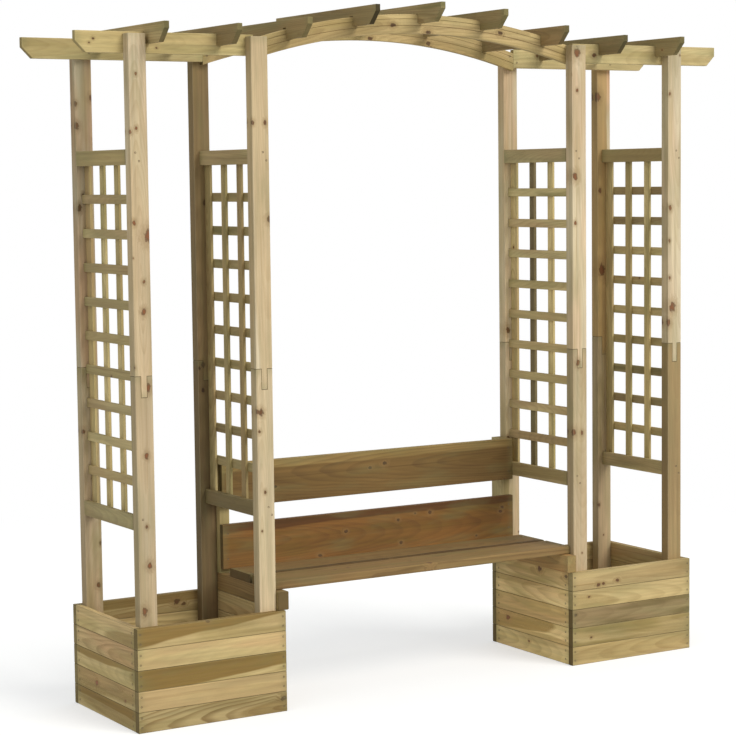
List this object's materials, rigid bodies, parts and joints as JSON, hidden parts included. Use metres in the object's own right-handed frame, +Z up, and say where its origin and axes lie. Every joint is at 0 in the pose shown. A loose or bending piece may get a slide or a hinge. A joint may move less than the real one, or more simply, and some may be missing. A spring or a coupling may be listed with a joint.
{
  "type": "arbour seat",
  "caption": "Timber arbour seat: slatted bench between square planter boxes, posts with trellis sides and an arched pergola top.",
  "frame": {"origin": "centre of the footprint at ground level", "axes": "+X to the right seen from the front, front faces -Y, +Z up"},
  "size_m": [2.524, 0.662, 2.286],
  "materials": {
    "post_pine": "planed, pressure treated",
    "wall_pine": "planed, pressure treated",
    "floor_pine": "sawn, pressure treated",
    "trellis_pine": "planed, pressure treated",
    "rail_pine": "planed, pressure treated",
    "rafter_pine": "planed, pressure treated",
    "bench_pine": "planed, pressure treated",
    "backrest_pine": "planed, pressure treated"
  },
  "bodies": {
    "root": {"planter_left_front_wall": "wall_pine", "planter_left_back_wall": "wall_pine", "planter_left_outer_wall": "wall_pine", "planter_left_inner_wall": "wall_pine", "planter_left_floor": "floor_pine", "planter_right_front_wall": "wall_pine", "planter_right_back_wall": "wall_pine", "planter_right_inner_wall": "wall_pine", "planter_right_outer_wall": "wall_pine", "planter_right_floor": "floor_pine", "post_lower_left_outer_front": "post_pine", "post_lower_left_outer_back": "post_pine", "post_lower_left_inner_front": "post_pine", "post_lower_left_inner_back": "post_pine", "post_lower_right_inner_front": "post_pine", "post_lower_right_inner_back": "post_pine", "post_lower_right_outer_front": "post_pine", "post_lower_right_outer_back": "post_pine", "post_upper_left_outer_front": "post_pine", "post_upper_left_outer_back": "post_pine", "post_upper_left_inner_front": "post_pine", "post_upper_left_inner_back": "post_pine", "post_upper_right_inner_front": "post_pine", "post_upper_right_inner_back": "post_pine", "post_upper_right_outer_front": "post_pine", "post_upper_right_outer_back": "post_pine", "trellis_left_outer": "trellis_pine", "trellis_left_inner": "trellis_pine", "trellis_right_inner": "trellis_pine", "trellis_right_outer": "trellis_pine", "rail_left_front": "rail_pine", "rail_left_back": "rail_pine", "rail_right_front": "rail_pine", "rail_right_back": "rail_pine", "arch_front": "rail_pine", "arch_back": "rail_pine", "rafter_1": "rafter_pine", "rafter_2": "rafter_pine", "rafter_3": "rafter_pine", "rafter_4": "rafter_pine", "rafter_5": "rafter_pine", "rafter_6": "rafter_pine", "rafter_7": "rafter_pine", "rafter_8": "rafter_pine", "rafter_9": "rafter_pine", "seat_bearer_left": "bench_pine", "seat_bearer_right": "bench_pine", "seat_board_front": "bench_pine", "seat_board_back": "bench_pine", "backrest_batten_left": "bench_pine", "backrest_batten_right": "bench_pine", "backrest_board_lower": "backrest_pine", "backrest_board_upper": "backrest_pine"}
  },
  "joints": []
}
